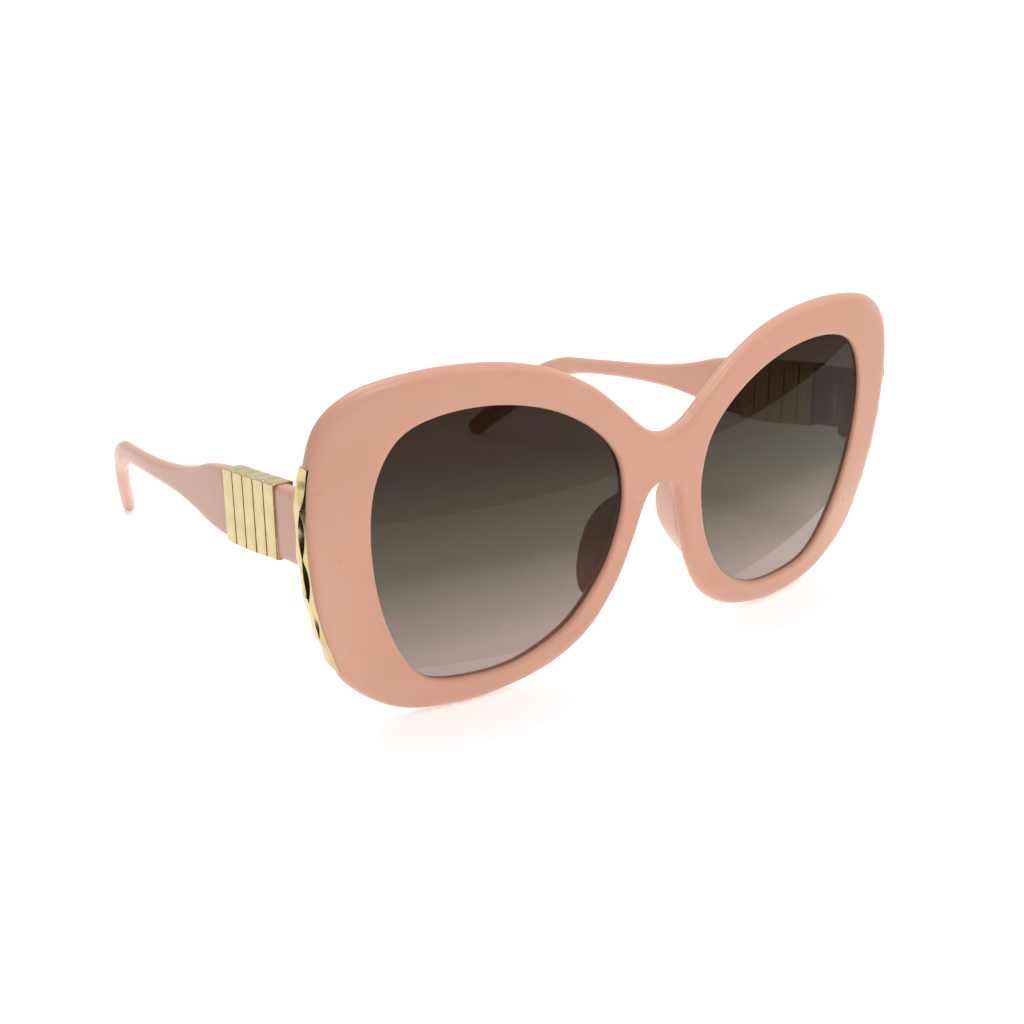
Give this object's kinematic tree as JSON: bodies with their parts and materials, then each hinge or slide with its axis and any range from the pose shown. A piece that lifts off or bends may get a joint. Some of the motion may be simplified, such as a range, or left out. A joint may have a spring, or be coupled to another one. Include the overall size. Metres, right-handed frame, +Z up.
{
  "type": "sunglasses",
  "caption": "Butterfly cat-eye sunglasses: thick curved acetate front, graduated lenses, hammered gold edge trim, ribbed gold temple sleeves and folding temples.",
  "frame": {"origin": "middle of the base, on the table the open glasses stand on (rim undersides and temple tips)", "axes": "the wearer looks along -Y, +Z is up from the table, +X is to the wearer's left"},
  "size_m": [0.1448, 0.1421, 0.0656],
  "materials": {
    "acetate": "polished pink cellulose acetate",
    "graduated_lens": "polished tinted lens, dark at the top and pale mauve at the bottom",
    "gold": "polished pale gold plating",
    "hinge_metal": "satin gold plating",
    "screw_steel": "turned",
    "wire_steel": "drawn wire, hidden inside the temple"
  },
  "bodies": {
    "front": {"front_frame": "acetate", "right_lens": "graduated_lens", "right_nose_pad": "acetate", "right_end_trim": "gold", "right_trim_pins": "gold", "right_front_hinge": "hinge_metal", "right_hinge_screw": "screw_steel", "left_lens": "graduated_lens", "left_nose_pad": "acetate", "left_end_trim": "gold", "left_trim_pins": "gold", "left_front_hinge": "hinge_metal", "left_hinge_screw": "screw_steel"},
    "right_temple": {"right_temple_hinge": "hinge_metal", "right_temple_front": "acetate", "right_rib_sleeve": "gold", "right_sleeve_pins": "gold", "right_temple_rear": "acetate", "right_core_wire": "wire_steel"},
    "left_temple": {"left_temple_hinge": "hinge_metal", "left_temple_front": "acetate", "left_rib_sleeve": "gold", "left_sleeve_pins": "gold", "left_temple_rear": "acetate", "left_core_wire": "wire_steel"}
  },
  "joints": [
    {"name": "right_temple_fold", "type": "hinge", "parent": "front", "child": "right_temple", "pos_m": [-0.0644, -0.0557, 0.038], "axis": [0, 0, -1], "range_deg": [0, 69]},
    {"name": "left_temple_fold", "type": "hinge", "parent": "front", "child": "left_temple", "pos_m": [0.0644, -0.0557, 0.038], "axis": [0, 0, 1], "range_deg": [0, 83.5]}
  ]
}
